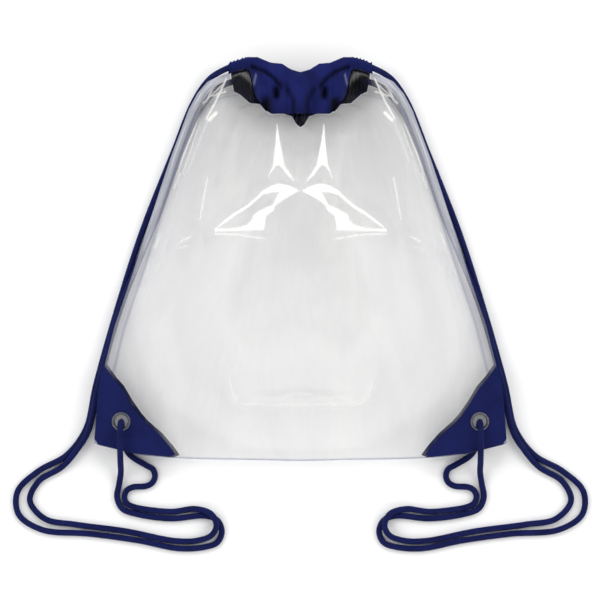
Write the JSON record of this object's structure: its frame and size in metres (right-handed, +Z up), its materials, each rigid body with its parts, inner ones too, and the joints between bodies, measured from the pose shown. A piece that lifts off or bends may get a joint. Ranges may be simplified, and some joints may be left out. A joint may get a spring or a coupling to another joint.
{
  "type": "clear drawstring bag",
  "caption": "Flat clear film backpack with a gathered cloth mouth, drawn shut by cords that run down the sides through eyelets in cloth corner patches.",
  "frame": {"origin": "Middle of the bag's footprint on the surface it lies on, with the free cords left out.", "axes": "+Z up from the surface, through the front panel; +Y along the bag towards its gathered mouth; +X across the bag, to the right when looking down on its front."},
  "size_m": [0.4744, 0.4088, 0.0633],
  "materials": {
    "clear_vinyl": "clear glossy film with soft creases",
    "navy_cloth": "plain woven polyester",
    "navy_patch": "coated woven polyester",
    "navy_cord": "braided polyester cord",
    "dark_nickel": "dark nickel plated, polished"
  },
  "bodies": {
    "root": {"front_panel": "clear_vinyl", "back_panel": "clear_vinyl", "front_channel": "navy_cloth", "back_channel": "navy_cloth", "corner_patch_front_left": "navy_patch", "corner_patch_back_left": "navy_patch", "corner_patch_front_right": "navy_patch", "corner_patch_back_right": "navy_patch", "eyelet_left": "dark_nickel", "eyelet_right": "dark_nickel", "cord_left": "navy_cord", "cord_right": "navy_cord"}
  },
  "joints": []
}
